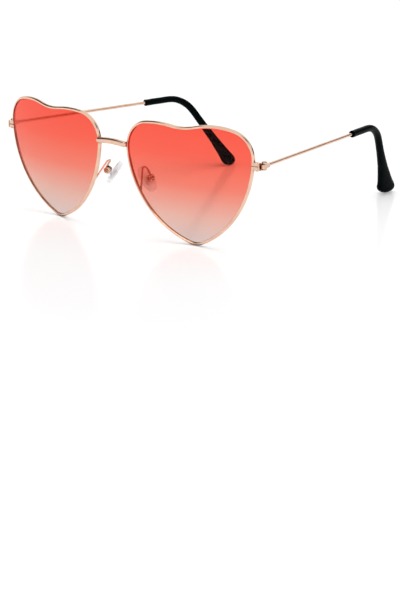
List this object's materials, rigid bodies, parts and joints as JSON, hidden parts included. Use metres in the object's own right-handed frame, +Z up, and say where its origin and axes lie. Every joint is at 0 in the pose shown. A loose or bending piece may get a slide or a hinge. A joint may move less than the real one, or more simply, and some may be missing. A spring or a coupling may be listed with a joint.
{
  "type": "heart shaped sunglasses",
  "caption": "Sunglasses with heart shaped gradient tinted lenses in thin gold wire rims, a rod bridge, rocking nose pads and folding wire temples with black ear tips.",
  "frame": {"origin": "on the table, under the middle of the box round the open glasses", "axes": "+Z up, +X to the wearer's left, -Y the way the lenses face, temples run back along +Y"},
  "size_m": [0.1426, 0.137, 0.051],
  "materials": {
    "gold_wire": "polished rose gold plate",
    "gold_screw": "polished rose gold plate",
    "lens_tint": "clear plastic, coral red at the top fading to pale grey pink at the tip",
    "ear_tip_black": "glossy",
    "clear_pad": "clear"
  },
  "bodies": {
    "frame": {"bridge": "gold_wire", "rim_left": "gold_wire", "rim_right": "gold_wire", "lens_left": "lens_tint", "lens_right": "lens_tint", "lock_block_upper_left": "gold_wire", "lock_block_upper_right": "gold_wire", "lock_block_lower_left": "gold_wire", "lock_block_lower_right": "gold_wire", "lock_screw_left": "gold_screw", "lock_screw_right": "gold_screw", "hinge_front_left": "gold_wire", "hinge_front_right": "gold_wire", "hinge_screw_left": "gold_screw", "hinge_screw_right": "gold_screw", "pad_arm_left": "gold_wire", "pad_arm_right": "gold_wire", "pad_box_left": "gold_wire", "pad_box_right": "gold_wire", "pad_screw_left": "gold_screw", "pad_screw_right": "gold_screw"},
    "temple_left": {"hinge_temple_left": "gold_wire", "temple_wire_left": "gold_wire", "ear_tip_left": "ear_tip_black"},
    "pad_left": {"nose_pad_left": "clear_pad", "pad_insert_left": "clear_pad"},
    "temple_right": {"hinge_temple_right": "gold_wire", "temple_wire_right": "gold_wire", "ear_tip_right": "ear_tip_black"},
    "pad_right": {"nose_pad_right": "clear_pad", "pad_insert_right": "clear_pad"}
  },
  "joints": [
    {"name": "temple_fold_left", "type": "hinge", "parent": "frame", "child": "temple_left", "pos_m": [0.0702, -0.05592, 0.03637], "axis": [0, 0, 1], "range_deg": [0, 77]},
    {"name": "pad_rock_left", "type": "hinge", "parent": "frame", "child": "pad_left", "pos_m": [0.01214, -0.05691, 0.02354], "axis": [-0.2731, -0.9397, -0.2058], "range_deg": [-10, 10]},
    {"name": "temple_fold_right", "type": "hinge", "parent": "frame", "child": "temple_right", "pos_m": [-0.0702, -0.05592, 0.03637], "axis": [0, 0, -1], "range_deg": [0, 68]},
    {"name": "pad_rock_right", "type": "hinge", "parent": "frame", "child": "pad_right", "pos_m": [-0.01214, -0.05691, 0.02354], "axis": [-0.2731, 0.9397, 0.2058], "range_deg": [-10, 10]}
  ]
}
